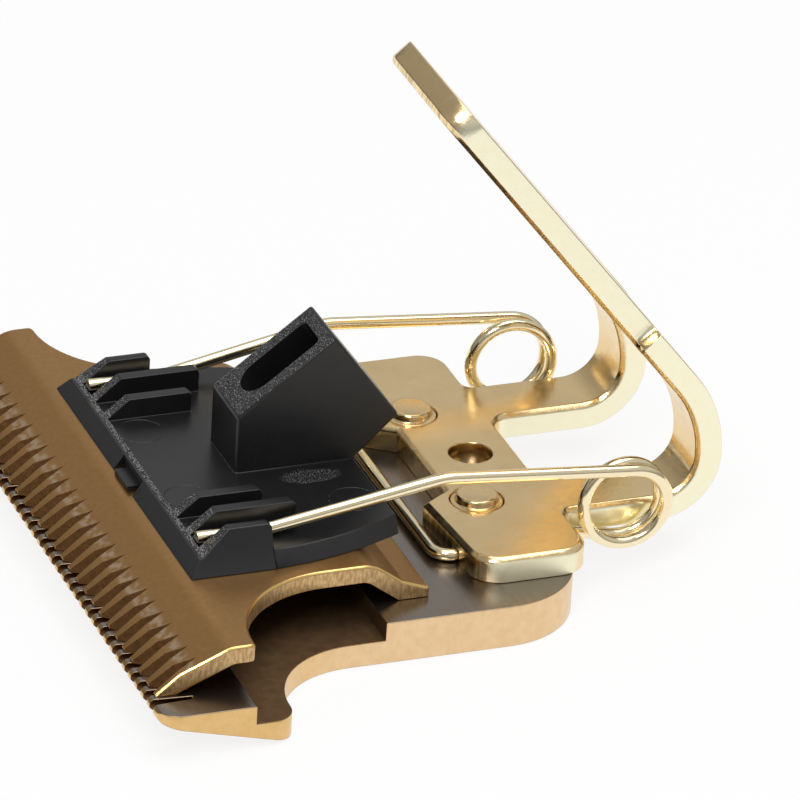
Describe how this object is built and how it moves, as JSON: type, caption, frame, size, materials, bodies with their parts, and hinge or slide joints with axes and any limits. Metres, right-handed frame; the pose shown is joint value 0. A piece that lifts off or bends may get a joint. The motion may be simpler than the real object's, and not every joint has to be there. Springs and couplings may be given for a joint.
{
  "type": "trimmer blade cartridge",
  "caption": "T-shaped hair clipper blade: a toothed cutter with a black drive saddle slides on a fixed comb under a wire spring, and a hooked rear bracket clips it to the trimmer.",
  "frame": {"origin": "on the fixed blade's outer face, under the centre hole of the hook bracket", "axes": "+X across the blade, -Y towards the teeth, +Z from the outer face up to the bracket"},
  "size_m": [0.04, 0.0346, 0.026],
  "materials": {
    "coated_steel": "satin",
    "cutter_steel": "satin",
    "black_plastic": "matte",
    "plated_sheet": "polished",
    "spring_wire": "polished",
    "rivet_metal": "polished"
  },
  "bodies": {
    "comb": {"fixed_blade": "coated_steel", "hook_bracket": "plated_sheet", "rivet_left": "rivet_metal", "rivet_right": "rivet_metal", "torsion_spring": "spring_wire"},
    "cutter": {"moving_blade": "cutter_steel", "drive_saddle": "black_plastic"}
  },
  "joints": [
    {"name": "cutter_slide", "type": "slide", "parent": "comb", "child": "cutter", "axis": [1, 0, 0], "range_m": [-0.0012, 0.0012], "deforming": ["torsion_spring"]}
  ]
}
